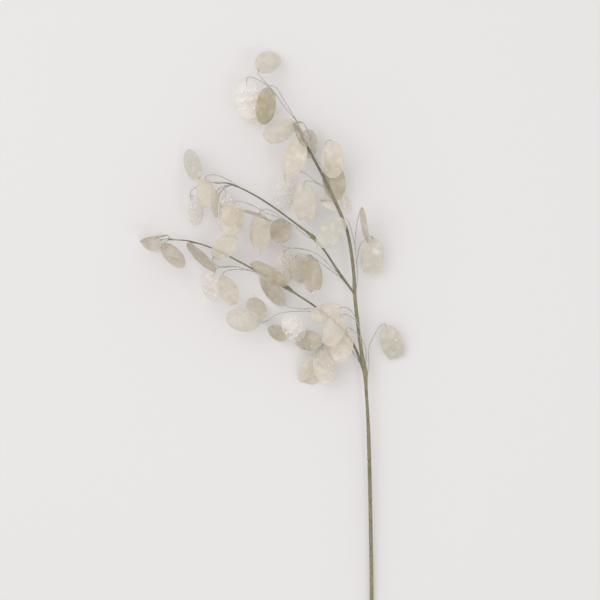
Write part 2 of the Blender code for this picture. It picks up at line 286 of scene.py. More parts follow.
# %% The three stems' lines
STEMS = {
    "main": [
        (0, 0, FOOT_HEIGHT, FOOT_RADIUS),
        (0, 75, 6.6, FOOT_RADIUS),
        (-1, 152, 11, FOOT_RADIUS),
        (-4, 280, 18, FOOT_RADIUS),
        (-6.9, 334, 21.2, 1.95),
        (-8.8, 361, 22.8, 2.9),
        (-13, 385, 24.2, 2.3),
        (-21, 450, 27.8, 2.3),
        (-23, 486, 29.6, 2.1),
        (-30, 532, 32.2, 1.9),
        (-39, 557, 33.5, 2.0),
        (-60, 602, 36, 1.8),
        (-84, 647, 38.6, 1.5),
        (-95, 668, 40, 1.0),
    ],
    "upper": [
        (-22, 458, 28.2, 1.6),
        (-40, 482.5, 31, 1.5),
        (-61, 514, 34, 1.4),
        (-72, 527, 35.4, 2.1),
        (-88, 540, 36.4, 1.3),
        (-137, 575, 39, 1.1),
        (-176, 594.5, 38, 0.9),
        (-197, 596.5, 37, 0.8),
    ],
    "lower": [
        (-8.5, 356, 22.6, 1.6),
        (-21, 390, 24, 1.5),
        (-36, 413, 25.4, 1.4),
        (-70, 441, 27, 1.2),
        (-97, 459, 28.6, 1.3),
        (-107, 466, 29, 2.2),
        (-118, 471.5, 29.2, 1.5),
        (-165, 497.5, 30, 1.1),
        (-199, 514.5, 29.4, 0.9),
        (-228, 523.5, 27.6, 0.8),
        (-255, 526, 26, 0.8),
    ],
}
RING_STEP = 0.75  # close enough for the tape's edge to show
COARSE_STEP = 17.0  # the solid model's own spacing, used for finding places on a stem


def stem_line(name, step):
    return smooth_line([Vector(knot) for knot in STEMS[name]], step)


SOLID_LINES = {name: stem_line(name, COARSE_STEP) for name in STEMS}
print({name: round(run_lengths(line)[-1]) for name, line in SOLID_LINES.items()}, "mm long")

# %% [markdown]
# Floral tape is a waxed crepe paper strip, stretched and wound in a slow spiral, so each turn laps
# the last with a thin raised edge. It could be painted as stripes with a bump, but the edge also
# shows in the outline of a stem 5 mm thick, so it is modelled: the radius climbs a little through
# each turn and drops at the lap. Slow noise makes the hand-wound unevenness. On the lower stem the
# tape was started again three times, which leaves a pinch and a shoulder.

# %% Wound tape
TAPE_PITCH = 7.5  # one turn of the spiral, along the stem
BRANCH_PITCH = 0.7  # share of that on the side branches
LAP_HEIGHT = 0.18  # the raised edge, where the stem has its radius at the foot
TAPE_JOINTS = (196, 248, 300)
# How brown the tape is, as (y, share): the tape differs here and there along each stem
TAPE_TONES = {
    "main": [
        (0, 0.06), (160, 0.15), (330, 0.35), (360, 0),
        (440, 0.1), (545, 0.5), (585, 0.15), (602, 0.9),
    ],
    "upper": [(458, 0.55), (500, 0.7), (518, 0.25), (540, 0.35), (570, 0.7)],
    "lower": [(356, 0.5), (450, 0.8), (459, 0.45), (476, 0.8), (484, 0.05), (503, 0.1), (512, 0.6)],
}
STEM_SIDES = 20
TAPE_LAYERS = ("tone", "lap", "joint")


def lap_share(run, turn, pitch):
    """0 just after the tape's edge, 1 just before the next one."""
    return (run / pitch + turn) % 1.0


def tape_tone(name, y):
    """How brown the tape is at y, on a straight line between the two nearest marks."""
    marks = TAPE_TONES[name]
    for (low, tone), (high, next_tone) in zip(marks, marks[1:]):
        if y <= high:
            return tone + (next_tone - tone) * max(y - low, 0) / (high - low)
    return marks[-1][1]


def joint_shape(y):
    """(change of radius, painted shade) near a place where the tape was started again; the shade is
    darkest in the pinch.
    """
    change, dark = 0.0, 0.0
    for at in TAPE_JOINTS:
        away = y - at
        pinch = math.exp(-((away / 1.2) ** 2))
        change += 0.09 * math.exp(-(((away - 2.4) / 1.6) ** 2)) - 0.2 * pinch
        dark = max(dark, pinch)
    return change, dark


def wound_stem(name, pitch):
    line = stem_line(name, RING_STEP)
    run = run_lengths(line)
    work = new_work(*TAPE_LAYERS)
    seed = Vector((7.3, 1.1, 4.2)) * (1 + len(name))

    def radius_at(i, turn):
        share = lap_share(run[i], turn, pitch)
        uneven = noise.noise(seed + Vector((run[i] / 9, turn * 2, 0))) * 0.04
        change = joint_shape(line[i].y)[0] if name == "main" else 0.0
        lap = LAP_HEIGHT / FOOT_RADIUS * (share**3 - 0.4)
        return line[i].w * (1 + lap + uneven + change)

    def marks(i, turn):
        share = lap_share(run[i], turn, pitch)
        dark = joint_shape(line[i].y)[1] if name == "main" else 0.0
        return {"tone": tape_tone(name, line[i].y), "lap": share, "joint": dark}

    tube_into(work, line, STEM_SIDES, radius_at, marks)
    return work


# %% [markdown]
# Two finishes are on the stem: the waxy tape, and one short sleeve of greener tape. Both need the
# same worn, hand-wound surface, so that part is one node group: it takes two colours, a face colour
# and a darker one, and gives back a blotchy mix with painted shade in the lap under each tape edge
# and in the pinches where the tape was started again, a crepe height for the bump, and a roughness.
# The tape also changes along the stem, from olive near the foot to a dark grey-brown at the head,
# with a greener length or two between.

# %% Shader helpers
def add_node(tree, kind, **settings):
    made = tree.nodes.new(kind)
    for key, value in settings.items():
        setattr(made, key, value)
    return made


def value_from(tree, layer):
    """The value stored on the points under this name."""
    return add_node(tree, "ShaderNodeAttribute", attribute_name=layer).outputs["Fac"]


def link(tree, source, target):
    if hasattr(source, "node"):
        tree.links.new(source, target)
    else:
        target.default_value = source


def math_node(tree, operation, a, b=0.0):
    made = add_node(tree, "ShaderNodeMath", operation=operation)
    link(tree, a, made.inputs[0])
    link(tree, b, made.inputs[1])
    return made.outputs[0]


def mix_colour(tree, share, a, b):
    made = add_node(tree, "ShaderNodeMix", data_type="RGBA")
    link(tree, share, made.inputs[0])
    link(tree, a, made.inputs[6])
    link(tree, b, made.inputs[7])
    return made.outputs[2]


def stretch(tree, value, low, high, new_low=0.0, new_high=1.0):
    """Maps low..high to new_low..new_high and holds it there."""
    made = add_node(tree, "ShaderNodeMapRange")
    for socket, number in zip(made.inputs[1:5], (low, high, new_low, new_high)):
        socket.default_value = number
    link(tree, value, made.inputs[0])
    return made.outputs[0]


def cloud(tree, scale, detail=3.0):
    """Noise in the object's own space, where one unit is a metre."""
    place = add_node(tree, "ShaderNodeTexCoord").outputs["Object"]
    made = add_node(tree, "ShaderNodeTexNoise")
    link(tree, scale, made.inputs["Scale"])
    made.inputs["Detail"].default_value = detail
    link(tree, place, made.inputs["Vector"])
    return made.outputs["Fac"]


def new_group(name, inputs, outputs):
    """A node group with named sockets. inputs and outputs are {name: (kind, default)}."""
    group = bpy.data.node_groups.new(name, "ShaderNodeTree")
    for direction, sockets in (("INPUT", inputs), ("OUTPUT", outputs)):
        for label, (kind, default) in sockets.items():
            made = group.interface.new_socket(label, in_out=direction, socket_type=kind)
            if default is not None:
                made.default_value = default
    source = add_node(group, "NodeGroupInput")
    target = add_node(group, "NodeGroupOutput")
    return group, source.outputs, target.inputs


def place_group(material, group, **values):
    made = add_node(material.node_tree, "ShaderNodeGroup", node_tree=group)
    for label, value in values.items():
        link(material.node_tree, value, made.inputs[label.replace("_", " ")])
    return made.outputs


def add_bump(material, height, strength, distance):
    bump = add_node(material.node_tree, "ShaderNodeBump")
    bump.inputs["Strength"].default_value = strength
    bump.inputs["Distance"].default_value = distance * MM
    link(material.node_tree, height, bump.inputs["Height"])
    link(material.node_tree, bump.outputs[0], principled(material).inputs["Normal"])


print("shader helpers ready")

# %% [markdown]
# The group is built first. A material then places it, feeds it the two colours and joins it to the
# shader. The tape material mixes an olive and a brown by the tone that is stored on the points, so
# one material covers a stem that changes colour, with no seam.

# %% Tape finish
COLOUR, FLOAT = "NodeSocketColor", "NodeSocketFloat"


def build_wound_tape_group():
    group, given, result = new_group(
        "wound crepe tape",
        {"Face": (COLOUR, None), "Fold": (COLOUR, None), "Lap": (FLOAT, 0.5), "Joint": (FLOAT, 0.0)},
        {"Colour": (COLOUR, None), "Roughness": (FLOAT, None), "Height": (FLOAT, None)},
    )
    blotch = stretch(group, cloud(group, 160), 0.38, 0.66)
    crepe = cloud(group, 2600, 2.0)
    # painted shade: darkest just after each tape edge, in the step under the raised turn, and in the
    # pinches
    edge = stretch(group, given["Lap"], 0.03, 0.16, 1.0, 0.0)
    under = math_node(group, "MAXIMUM", edge, given["Joint"])
    worn = math_node(group, "MULTIPLY", blotch, 0.45)
    # the darker colour is mixed in fully for the painted shade and more weakly for the blotches
    shade = math_node(group, "MAXIMUM", math_node(group, "MULTIPLY", under, 0.8), worn)
    link(group, mix_colour(group, shade, given["Face"], given["Fold"]), result["Colour"])
    link(group, stretch(group, blotch, 0, 1, 0.5, 0.72), result["Roughness"])
    link(group, crepe, result["Height"])
    return group


def tape_material(name, face_low, shade_blotch_low, face_high, shade_blotch_high):
    material = new_material(name, 0.6)
    tree = material.node_tree
    tone = value_from(tree, "tone")
    outputs = place_group(
        material,
        WOUND_TAPE,
        Face=mix_colour(tree, tone, face_low, face_high),
        Fold=mix_colour(tree, tone, shade_blotch_low, shade_blotch_high),
        Lap=value_from(tree, "lap"),
        Joint=value_from(tree, "joint"),
    )
    shader = principled(material)
    link(tree, outputs["Colour"], shader.inputs["Base Color"])
    link(tree, outputs["Roughness"], shader.inputs["Roughness"])
    shader.inputs["Specular IOR Level"].default_value = 0.35
    add_bump(material, outputs["Height"], 0.35, 0.15)
    return material


WOUND_TAPE = build_wound_tape_group()
# each pair is a tape colour and a darker copy of it: the darker one is painted shade in the laps and
# pinches, and the tone of the blotches
OLIVE, OLIVE_DARK = (0.30, 0.275, 0.16, 1), (0.125, 0.11, 0.06, 1)
BROWN, BROWN_DARK = (0.205, 0.19, 0.155, 1), (0.06, 0.052, 0.042, 1)
MOSS, MOSS_DARK = (0.275, 0.27, 0.115, 1), (0.12, 0.12, 0.05, 1)
stem_tape = tape_material("waxy stem tape", OLIVE, OLIVE_DARK, BROWN, BROWN_DARK)
sleeve_tape = tape_material("green sleeve tape", MOSS, MOSS_DARK, MOSS, MOSS_DARK)
print("tape finishes:", stem_tape.name, "and", sleeve_tape.name)

# %% [markdown]
# The main stem is wound with the full pitch. The thinner branches take narrower tape, so their
# turns are closer together.

# %% Wind the stems
STEM_PIECES = {"main": "main_stem", "upper": "upper_branch", "lower": "lower_branch"}
for stem_name, piece_name in STEM_PIECES.items():
    pitch = TAPE_PITCH if stem_name == "main" else TAPE_PITCH * BRANCH_PITCH
    wound = wound_stem(stem_name, pitch)
    stem_piece = keep_piece(piece_name, wound, stem_tape, "stem")
    print(piece_name, len(stem_piece.data.polygons), "faces")

# %% [markdown]
# Each twig is bound to its stem with a few tight turns of tape, which swell the stem for a
# centimetre or so. A binding is a short tube round the stem with tapered ends. The stem's own line
# carries it, so it can't miss. Two longer ones are the sleeves partway along the branches, the upper
# one in a greener tape.

# %% Bindings
Binding = namedtuple("Binding", "stem near length swell")
BINDING_STEP = 0.5
BINDING_PITCH = 2.6
BINDING_RIDGE = 0.10


def nearest_on(line, near):
    """(place, radius, direction) on the line at its point nearest to near, seen from above."""
    best = None
    for a, b in zip(line, line[1:]):
        for k in range(21):
            here = a.lerp(b, k / 20)
            away = (here.xy - Vector(near)).length
            if best is None or away < best[0]:
                best = (away, here, (b.xyz - a.xyz).normalized())
    return best[1].xyz, best[1].w, best[2]


def binding_into(work, spec):
    line = stem_line(spec.stem, BINDING_STEP)
    run = run_lengths(line)
    at = min(range(len(line)), key=lambda i: (line[i].xy - Vector(spec.near)).length)
    part = [i for i in range(len(line)) if abs(run[i] - run[at]) <= spec.length / 2]
    first = part[0]

    def radius_at(i, turn):
        away = abs(run[first + i] - run[at]) / (spec.length / 2)
        body = min(1.0, (1.02 - away) * 4)
        ridge = BINDING_RIDGE * (lap_share(run[first + i], turn, BINDING_PITCH) ** 3)
        return line[first + i].w + (spec.swell + ridge) * body

    def marks(i, turn):
        return {
            "tone": tape_tone(spec.stem, line[first + i].y),
            "lap": lap_share(run[first + i], turn, BINDING_PITCH),
            "joint": 0.0,
        }

    tube_into(work, [line[i] for i in part], STEM_SIDES, radius_at, marks)


print("binding maker ready")

# %% [markdown]
# The spray is told as a table: for each twig, its pods, and for each pod where its wire starts, where
# the pod hangs and how it is turned. The places were read off the picture, the heights were chosen so
# that the low pods just reach the table. A wire starts either bound to a stem or forked from an
# earlier wire of the same twig.
#
# - `side` turns round the stem: 0 is its right, 90 its top, 180 its left.
# - `tips` and `length` say how far a pod leans out of the level: its length is known, its length as
#   seen from above is known, and the rest is height.
# - `turn` rolls the pod about its own length.
# - `shade` is the film's colour, from 0, a pale grey, through cream and beige to 1, olive. Above 1,
#   up to 1.35, it is painted shade, darker and browner, for pods that are seen almost edge-on.
# - `film` is pearl or clear, `via` are points that the wire passes, `end` is the shape of the far
#   end and `thread` the length of a thread there.

# %% The table of pods
Bound = namedtuple("Bound", "stem near side")
Fork = namedtuple("Fork", "pod share")
Pod = namedtuple("Pod", "start stalk tip tips turn length end via film shade thread")
POD_LENGTH = 46.0


def pod(start, stalk, tip, tips=-1, turn=0, length=POD_LENGTH, end="oval", via=(), film="pearl",
        shade=0.3, thread=0):
    return Pod(start, stalk, tip, tips, turn, length, end, via, film, shade, thread)


TWIGS = {
    # Head of the leader
    "leader_tip_twig": [
        pod(Bound("main", (-92, 662), 20), (-130.5, 714.5, 44), (-135.5, 669), turn=-34,
            via=[(-103, 688, 44), (-113, 704, 47), (-121, 715.5, 48)], shade=0.98),
        pod(Fork(0, 0.15), (-142, 735.5, 47), (-119, 758), turn=-12,
            via=[(-110.5, 692.5, 42), (-121.5, 708.5, 43), (-133, 721, 45)], shade=0.14),
        pod(Fork(1, 0.62), (-156.5, 724, 40), (-153.5, 676.5), turn=0, length=48,
            film="clear", shade=0.4),
        pod(Fork(1, 0.52), (-137, 710, 31), (-148, 669.5), turn=14, end="notched",
            film="clear", shade=0.4),
    ],
    "leader_twig_1": [
        pod(Bound("main", (-58, 600), 10), (-97, 670.5, 48), (-134.5, 650.5), tips=1, turn=-2,
            via=[(-73, 634, 42), (-80, 659, 46), (-87, 671, 48)], shade=0.08),
        # almost edge-on: a shade above 1 is painted shade
        pod(Fork(0, 0.88), (-97.5, 667, 51), (-80.5, 643), tips=1, turn=68, length=41, shade=1.2),
        pod(Fork(0, 0.62), (-75, 661, 38), (-82.5, 630), turn=30, length=44, shade=0.2),
    ],
    "leader_twig_2": [
        pod(Bound("main", (-78, 636), 180), (-90, 650, 46), (-105, 604), turn=-10, length=49,
            shade=0.33),
    ],
    "leader_twig_3": [
        pod(Bound("main", (-55, 592), 0), (-49.5, 647.5, 53), (-49, 602), turn=2,
            via=[(-59, 630, 46), (-57, 647, 53)], shade=0.42),
        pod(Fork(0, 0.25), (-51, 621, 30), (-44, 575), turn=-10, length=47, shade=0.85),
    ],
    "leader_twig_4": [
        pod(Bound("main", (-53, 587), 180), (-109, 606, 19), (-111, 562), turn=-29,
            via=[(-72, 599, 32), (-90, 611, 26)], film="clear", shade=0.05),
        pod(Fork(0, 0.22), (-85, 595, 37), (-83, 550), turn=18, end="blunt", shade=0.2),
    ],
    "leader_twig_5": [
        pod(Bound("main", (-46, 572), 250), (-63, 574, 22), (-26, 571), turn=-24, length=42,
            film="clear", shade=0.3),
    ],
    "leader_twig_6": [
        pod(Bound("main", (-22, 468), 15), (-35.5, 550.5, 40), (-67, 517.5), tips=1, turn=5,
            via=[(-20, 500, 34), (-24, 530, 37)], shade=0.08, thread=8),
        pod(Fork(0, 0.55), (-12, 564.5, 47), (-5, 521), turn=76, via=[(-19, 545, 42)], shade=0.6),
        pod(Fork(0, 0.28), (1, 528, 27), (-0.5, 483), turn=-4, end="blunt",
            via=[(-14, 520, 30)], shade=0.1),
    ],
    # Lower part of the main stem
    "right_twig": [
        pod(Bound("main", (-7, 360), 0), (17.5, 418, 19), (32, 377.5), turn=10, length=45,
            end="blunt", via=[(-2, 396, 24)], shade=0.12, thread=4),
    ],
    "left_twig_1": [
        pod(Bound("main", (-18, 428), 130), (-39, 440.5, 40), (-75.5, 427), tips=1, turn=20,
            length=41, shade=0.28),
    ],
    "left_twig_2": [
        pod(Bound("main", (-15, 402), 70), (-39.5, 430, 50), (-57, 394), tips=1, turn=-10,
            length=44, via=[(-20, 424, 37)], shade=0.25),
    ],
    "left_twig_3": [
        pod(Bound("main", (-10, 370), 40), (-32.5, 413, 38), (-42, 372), tips=1, turn=5,
            length=43, via=[(-11, 398, 32)], shade=0.3),
    ],
    # Upper side branch
    "upper_tip_twig": [
        pod(Bound("upper", (-193, 596), 80), (-215.5, 602, 40), (-232.5, 636.5), turn=-40,
            length=44, shade=0.02),
        pod(Fork(0, 0.4), (-227, 580, 28), (-217.5, 545.5), turn=-46, length=43,
            film="clear", shade=0.05),
    ],
    "upper_twig_1": [
        pod(Bound("upper", (-172, 593), 20), (-207.5, 602, 46), (-209, 565), tips=1, turn=-24,
            length=41, via=[(-196, 606, 45)], shade=0.36),
    ],
    "upper_twig_2": [
        pod(Bound("upper", (-178, 595), 200), (-182.5, 585, 38), (-184, 545), turn=-44,
            length=42, via=[(-186, 591, 38)], film="clear", shade=0.1),
        pod(Fork(0, 0.3), (-194, 585, 36), (-198, 557), turn=62, length=40, shade=0.4),
        pod(Fork(0, 0.2), (-191, 572.5, 15), (-172.5, 532.5), turn=8, length=45,
            film="clear", shade=0.2),
    ],
    "upper_twig_3": [
        pod(Bound("upper", (-74, 528), 160), (-171.5, 570.5, 54), (-177, 530), tips=1, turn=5,
            length=45, via=[(-96, 541, 43), (-114, 551.5, 48), (-131, 558, 53), (-155, 570, 56)],
            shade=0.5),
        # almost edge-on: a shade above 1 is painted shade
        pod(Fork(0, 0.34), (-127, 549, 56), (-159.5, 560), tips=1, turn=81, length=40, shade=1.3),
        pod(Fork(0, 0.34), (-140, 559, 38), (-139.5, 514), turn=26, end="blunt",
            via=[(-130, 563, 41)], shade=0.3, thread=9),
    ],
    "upper_twig_4": [
        pod(Bound("upper", (-43, 487), 170), (-110, 509.5, 26), (-107.5, 469.5), turn=-34,
            via=[(-70, 508, 34), (-96, 515, 30)], film="clear", shade=0.3),
        pod(Fork(0, 0.6), (-114.5, 521.5, 34), (-113.5, 551.5), turn=2, length=44, shade=0.6),
    ],
    "upper_twig_5": [
        pod(Bound("upper", (-38, 479), 200), (-80, 505, 42), (-71, 461), turn=-30,
            end="notched", via=[(-60, 493, 36)], shade=0.75, thread=6),
        pod(Fork(0, 0.8), (-95.5, 503, 36), (-84, 474), turn=-16, length=42, shade=0.45),
    ],
    # Lower side branch
    "lower_tip_twig": [
        # almost edge-on: a shade above 1 is painted shade
        pod(Bound("lower", (-251, 526), 60), (-257.5, 531, 34), (-287, 521.5), tips=1, turn=79,
            length=40, shade=1.25),
        pod(Fork(0, 0.5), (-264, 525, 30), (-286, 517.5), turn=-30, length=36.5, shade=0.5),
        pod(Fork(0, 0.3), (-259.5, 520.5, 24), (-238, 490), tips=1, turn=-42, length=44, shade=0.5),
    ],
    "lower_twig_1": [
        # almost edge-on: a shade above 1 is painted shade
        pod(Bound("lower", (-226, 523), 150), (-231, 520, 33), (-194.5, 487.5), tips=1, turn=67,
            length=50, shade=1.25),
    ],
    "lower_twig_2": [
        pod(Bound("lower", (-146, 487), 190), (-198, 503, 38), (-170, 529), tips=1, turn=-5,
            length=42, via=[(-170, 491.5, 29), (-192, 492, 30)], shade=0.24),
        pod(Fork(0, 0.3), (-197, 485, 26), (-204, 451), turn=30, length=42, film="clear", shade=0.3),
        pod(Fork(0, 0.12), (-186, 479.5, 32), (-173, 444), tips=1, turn=-30, length=43, shade=0.38),
    ],
    "lower_twig_3": [
        pod(Bound("lower", (-144, 486), 90), (-149.5, 496, 48), (-106, 470), tips=1, turn=55,
            length=51, shade=0.72),
    ],
    "lower_twig_4": [
        pod(Bound("lower", (-67, 439), 220), (-110, 445, 16), (-139, 481), turn=-48,
            length=47, via=[(-92, 439, 19)], shade=0.6),
    ],
    "lower_twig_5": [
        pod(Bound("lower", (-60, 433), 170), (-140, 421, 35), (-181, 429), tips=1, turn=-8,
            via=[(-85, 436, 29), (-116, 433, 32)], shade=0.16),
        pod(Fork(0, 0.85), (-142, 425, 31), (-147, 452.5), turn=20, length=41, shade=0.15, thread=7),
    ],
    "lower_twig_6": [
        pod(Bound("lower", (-33, 410), 220), (-65, 395.5, 34), (-94, 402.5), turn=12, length=42,
            via=[(-54, 397, 27)], shade=0.6),
        pod(Fork(0, 0.6), (-88, 401, 32), (-109, 430.5), tips=1, turn=8, length=42,
            via=[(-66, 389, 30), (-83, 388, 30)], film="clear", shade=0.1),
        pod(Fork(1, 0.7), (-105, 409, 30), (-129, 409), turn=-30, length=37, shade=0.7),
    ],
    "lower_twig_7": [
        pod(Bound("lower", (-15, 377), 190), (-62, 390, 22), (-56.5, 345.5), tips=1, turn=6,
            via=[(-34, 398, 16), (-52, 401, 18)], shade=0.2),
        pod(Fork(0, 0.7), (-71, 380, 23.3), (-82.5, 345.5), turn=-6, length=42.5, end="blunt",
            shade=0.25),
    ],
}


pod_count = sum(len(pods) for pods in TWIGS.values())
print(len(TWIGS), "twigs carry", pod_count, "pods")

# %% [markdown]
# A wire's path is worked out from its entry in the table. It starts just off the stem's surface,
# leaves almost along the stem, passes its via points, and comes in along the pod's own middle. The
# same rule made the solids, so wire and solid agree.

# %% Where the wires run
WIRE_RADIUS = 0.5
SOLID_WIRE_RADIUS = 0.6  # the solid's wire, which sets how far the root stands off the stem
BOUND_GAP = 0.3
ROOT_SPREAD = math.radians(16)
WIRE_STEP = 2.0
STALK_IN_POD = 6.0
WIRE_SIDES = 8
UNDER_TAPE = 11  # how far before its root a wire starts, under the tape


def bound_root(start):
    centre, radius, along = nearest_on(SOLID_LINES[start.stem], start.near)
    right = along.cross(Vector((0, 0, 1))).normalized()
    side = math.radians(start.side)
    out = right * math.cos(side) + right.cross(along) * math.sin(side)
    root = centre + out * (radius + BOUND_GAP + SOLID_WIRE_RADIUS)
    return root, along * math.cos(ROOT_SPREAD) + out * math.sin(ROOT_SPREAD)


def fork_root(start, paths):
    path = paths[start.pod]
    run = run_lengths(path)
    wanted = start.share * run[-1]
    i = next(i for i in range(len(run) - 1) if run[i + 1] >= wanted)
    part = (wanted - run[i]) / (run[i + 1] - run[i])
    return path[i].lerp(path[i + 1], part), (path[i + 1] - path[i]).normalized()


def pod_axes(spec):
    """(stalk end, along, across, out) of a pod. The seeds press out on the out side."""
    stalk = Vector(spec.stalk)
    level = Vector((*spec.tip, 0)) - Vector((*stalk.xy, 0))
    drop = math.sqrt(max(spec.length**2 - level.length**2, 0.0)) * spec.tips
    along = (level + Vector((0, 0, drop))).normalized()
    across = Vector((0, 0, 1)).cross(along).normalized()
    out = along.cross(across)
    roll = math.radians(spec.turn)
    turned_across = across * math.cos(roll) + out * math.sin(roll)
    turned_out = out * math.cos(roll) - across * math.sin(roll)
    return stalk, along, turned_across, turned_out


def wire_path(spec, paths):
    bound = isinstance(spec.start, Bound)
    root, leaving = bound_root(spec.start) if bound else fork_root(spec.start, paths)
    stalk, along = pod_axes(spec)[:2]
    knots = [root, *(Vector(point) for point in spec.via), stalk]
    path = smooth_line(knots, WIRE_STEP, leaving, along)
    return buried_end(spec.start, root) + path if bound else path


def buried_end(start, root):
    """The first centimetre of a wire, which lies under the stem's tape."""
    centre, radius, along = nearest_on(SOLID_LINES[start.stem], start.near)
    out = root - centre
    under = root - along * UNDER_TAPE - out.normalized() * (out.length - radius * 0.6)
    return [under, under.lerp(root, 0.35) - out * 0.08, under.lerp(root, 0.7) - out * 0.08]


print("wire rule ready")

# %% [markdown]
# The wires are lacquered in a grey green that has rubbed thin here and there, so the steel shows
# paler. One blotchy mask between the two colours is enough at this size, with a fine bump for the
# thick lacquer.

# %% Wire finish
LACQUER, RUBBED = (0.36, 0.37, 0.30, 1), (0.56, 0.56, 0.50, 1)


def wire_material():
    material = new_material("lacquered wire", 0.42)
    tree = material.node_tree
    rubbed = stretch(tree, cloud(tree, 420), 0.45, 0.62)
    shader = principled(material)
    colour = mix_colour(tree, rubbed, LACQUER, RUBBED)
    link(tree, colour, shader.inputs["Base Color"])
    link(tree, stretch(tree, rubbed, 0, 1, 0.5, 0.34), shader.inputs["Roughness"])
    add_bump(material, cloud(tree, 3000, 2.0), 0.2, 0.05)
    return material


wire_finish = wire_material()
print("wire finish:", wire_finish.name)

# %% [markdown]
# A wire is not perfectly even: where a twig forks, the second wire is twisted round the first for a
# few millimetres, and a drop of glue sits where it enters the pod. The fork's twist is a swelling
# with slow ridges, and the glue is a small bulge at the wire's end.

# %% Draw the wires
TWIST_LENGTH, TWIST_SWELL = 5, 0.35
GLUE_LENGTH, GLUE_SWELL = 1.4, 0.5


def wire_radius(run, at):
    """Swells where the wire is twisted to its parent and where it is glued into the pod."""
    whole = run[-1]
    twist = math.exp(-((run[at] / TWIST_LENGTH) ** 2)) * TWIST_SWELL
    from_pod = whole - STALK_IN_POD - run[at]
    glue = math.exp(-((from_pod / GLUE_LENGTH) ** 2)) * GLUE_SWELL
    fine = 0.05 * math.sin(run[at] * 1.7)
    return WIRE_RADIUS * (1 + twist + glue + fine)


def draw_wires(name, specs):
    paths = []
    work = new_work()
    for spec in specs:
        path = wire_path(spec, paths)
        paths.append(path)
        ending = path[-1] + pod_axes(spec)[1] * STALK_IN_POD
        line = path + [path[-1].lerp(ending, k / 3) for k in (1, 2, 3)]
        run = run_lengths(line)
        tube_into(work, line, WIRE_SIDES, lambda i, turn: wire_radius(run, i))
    return keep_piece(name + "_wires", work, wire_finish, name)


for twig_name, twig_pods in TWIGS.items():
    draw_wires(twig_name, twig_pods)
print("wires drawn for", len(TWIGS), "twigs")

# %% [markdown]
# A few turns of tape close the gap between each wire's root and its stem. The two sleeves are a
# piece each. The twigs' bindings are one piece together, as they share one tape.

# %% Bind the twigs
UPPER_SLEEVE = Binding("upper", (-72, 527), 13, 0.4)
LOWER_SLEEVE = Binding("lower", (-107, 466), 19, 0.4)
ROOT_LENGTH, ROOT_SWELL = 6, 0.22


def root_bindings():
    roots = [spec.start for specs in TWIGS.values() for spec in specs if isinstance(spec.start, Bound)]
    return [Binding(root.stem, root.near, ROOT_LENGTH, ROOT_SWELL) for root in roots]


def bind(name, bindings, tape):
    work = new_work(*TAPE_LAYERS)
    for spec in bindings:
        binding_into(work, spec)
    keep_piece(name, work, tape, "stem")
    print(name, "holds", len(bindings))


bind("upper_sleeve", [UPPER_SLEEVE], sleeve_tape)
bind("lower_sleeve", [LOWER_SLEEVE], stem_tape)
bind("twig_bindings", root_bindings(), stem_tape)

# %% [markdown]
# A pod is one sheet of film pressed in a mould: a fine bead round the rim, three raised seeds in each
# of two columns, a faint rib down the middle, and a gentle bow from end to end. It could be a flat
# oval with all of that in a bump map. But the seeds catch the light from the side and show in the
# outline of a pod seen edge-on, so the relief is modelled, as one height formula over a grid that is
# bent to the oval. Each pod gets its own small errors from a seeded random source.

# %% The shape of a pod
POD_WIDTH = 28.5
POD_BOW = 2.2
SEED_HEIGHT = 1.0
SEED_ROWS = (0.26, 0.5, 0.74)
SEED_COLUMN = 0.45
SEED_SPREAD = 2.3  # radius of a seed's bump
FILM_THICKNESS = 0.34
RIM_BEAD = 0.5  # extra thickness at the rim
POD_ENDS = {"oval": (0.99, 0.0), "blunt": (0.885, 0.0), "notched": (0.94, 2.6)}
GRID_ROWS, GRID_COLUMNS = 46, 30
FILM_LAYERS = ("seed", "rim", "shade")
BAND_HEIGHT = 0.55  # the ribs across a clear pod


def half_width(share, reach):
    on_oval = 0.012 + (reach - 0.012) * share
    return math.sqrt(1 - (2 * on_oval - 1) ** 2)


